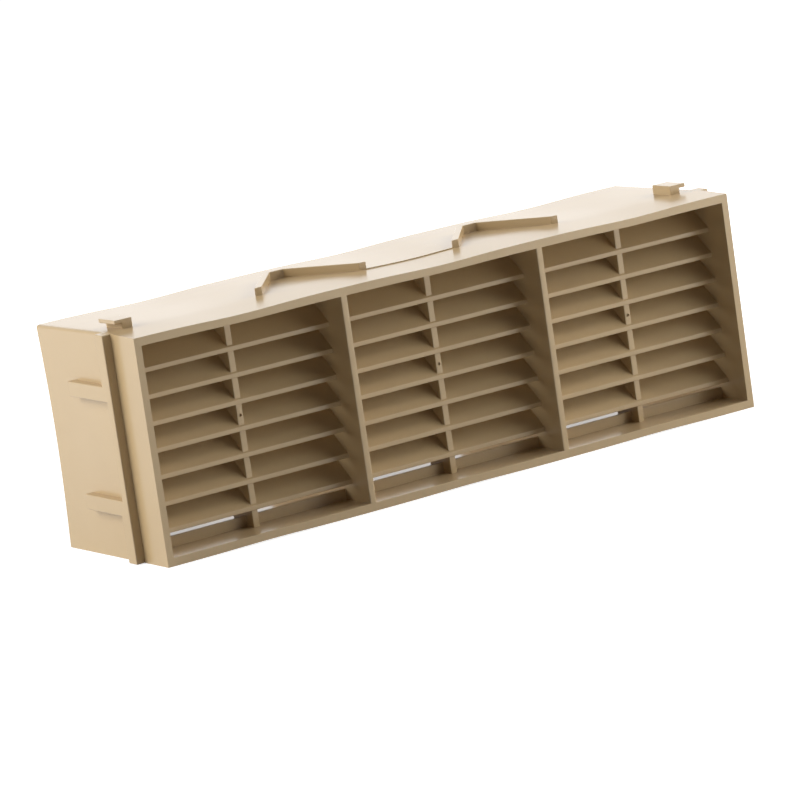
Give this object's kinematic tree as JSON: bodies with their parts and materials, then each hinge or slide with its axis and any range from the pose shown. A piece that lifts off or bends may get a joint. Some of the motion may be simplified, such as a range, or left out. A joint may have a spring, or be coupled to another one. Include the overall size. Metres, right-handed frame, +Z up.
{
  "type": "brick vent",
  "caption": "Plastic brick vent: a rectangular sleeve, open at the back, with a louvred front in bays, side ridges that key into mortar, and hooks and chevron ribs on top.",
  "frame": {"origin": "under the middle of the box, on the underside that lies on the mortar bed", "axes": "+X to the right along the wall, +Y from the louvred front face to the open back, +Z up"},
  "size_m": [0.2206, 0.058, 0.0714],
  "materials": {
    "buff_plastic": "semi-gloss moulded plastic, buff"
  },
  "bodies": {
    "root": {"brick_vent": "buff_plastic"}
  },
  "joints": []
}
